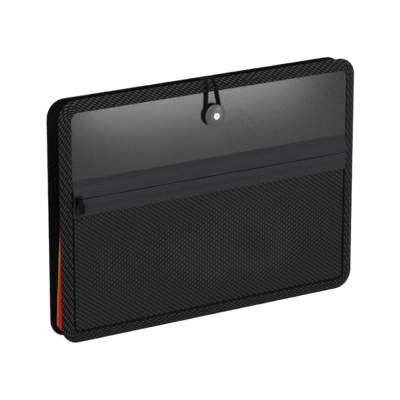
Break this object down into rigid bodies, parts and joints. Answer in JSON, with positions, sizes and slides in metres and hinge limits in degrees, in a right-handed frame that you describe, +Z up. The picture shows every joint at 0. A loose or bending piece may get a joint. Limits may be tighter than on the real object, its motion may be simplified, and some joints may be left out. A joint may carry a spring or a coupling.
{
  "type": "accordion file folder",
  "caption": "Expanding accordion file folder with bound covers, pleated pockets between them, a zipped net pocket on the front and an elastic that hooks round a button.",
  "frame": {"origin": "on the table, at the middle of the folder's width and depth as it stands on its bottom edges", "axes": "+X to the right seen from the front, +Y from the front cover to the back cover, +Z up"},
  "size_m": [0.33, 0.037, 0.2413],
  "materials": {
    "black_polypropylene": "fine-grained satin",
    "black_twill_tape": "diagonal twill weave",
    "black_zip_tape": "fine lengthwise weave",
    "black_nylon": "satin",
    "black_net": "open diamond net",
    "black_enamelled_zinc": "satin enamel",
    "dark_grey_plastic": "satin",
    "bright_nickel": "polished",
    "zinc_plated_steel": "plain",
    "black_elastic": "braided",
    "orange_film": "satin film",
    "red_film": "satin film"
  },
  "bodies": {
    "back_cover": {"back_board": "black_polypropylene", "back_binding": "black_twill_tape", "rear_leaf": "orange_film", "gusset_5": "orange_film", "elastic_loop": "black_elastic", "cord_barbs": "zinc_plated_steel"},
    "front_cover": {"front_board": "black_polypropylene", "front_binding": "black_twill_tape", "front_leaf": "red_film", "mesh_panel": "black_net", "zip_upper_tape": "black_zip_tape", "zip_lower_tape": "black_zip_tape", "zip_upper_coil": "black_nylon", "zip_lower_coil": "black_nylon", "button_cap": "dark_grey_plastic", "button_rivet": "bright_nickel", "button_washer": "zinc_plated_steel"},
    "zip_slider": {"zip_slider": "black_enamelled_zinc"},
    "zip_pull": {"zip_pull": "black_enamelled_zinc"},
    "divider_1": {"divider_1": "orange_film", "gusset_1": "orange_film"},
    "divider_2": {"divider_2": "red_film", "gusset_2": "red_film"},
    "divider_3": {"divider_3": "orange_film", "gusset_3": "orange_film"},
    "divider_4": {"divider_4": "red_film", "gusset_4": "red_film"}
  },
  "joints": [
    {"name": "front_open", "type": "hinge", "parent": "back_cover", "child": "front_cover", "pos_m": [0, -0.00721, 0.0011], "axis": [1, 0, 0], "range_deg": [0, 20], "stiffness_Nm_per_rad": 1.5, "springref_deg": -5.73, "deforming": ["gusset_1", "gusset_2", "gusset_3", "gusset_4", "gusset_5", "elastic_loop"]},
    {"name": "zip_slide", "type": "slide", "parent": "front_cover", "child": "zip_slider", "axis": [1, 0, 0], "range_m": [0, 0.2965]},
    {"name": "zip_pull_swing", "type": "hinge", "parent": "zip_slider", "child": "zip_pull", "pos_m": [-0.14825, -0.01648, 0.1438], "axis": [-1, 0, 0], "range_deg": [0, 165]},
    {"name": "divider_1_fan", "type": "hinge", "parent": "back_cover", "child": "divider_1", "pos_m": [0, -0.00721, 0.0011], "axis": [1, 0, 0], "range_deg": [0, 16.01]},
    {"name": "divider_2_fan", "type": "hinge", "parent": "back_cover", "child": "divider_2", "pos_m": [0, -0.00721, 0.0011], "axis": [1, 0, 0], "range_deg": [0, 12.01]},
    {"name": "divider_3_fan", "type": "hinge", "parent": "back_cover", "child": "divider_3", "pos_m": [0, -0.00721, 0.0011], "axis": [1, 0, 0], "range_deg": [0, 8.01]},
    {"name": "divider_4_fan", "type": "hinge", "parent": "back_cover", "child": "divider_4", "pos_m": [0, -0.00721, 0.0011], "axis": [1, 0, 0], "range_deg": [0, 4.01]}
  ],
  "couplings": [
    {"joint": "divider_1_fan", "follows": "front_open", "ratio": 0.8},
    {"joint": "divider_2_fan", "follows": "front_open", "ratio": 0.6},
    {"joint": "divider_3_fan", "follows": "front_open", "ratio": 0.4},
    {"joint": "divider_4_fan", "follows": "front_open", "ratio": 0.2}
  ]
}
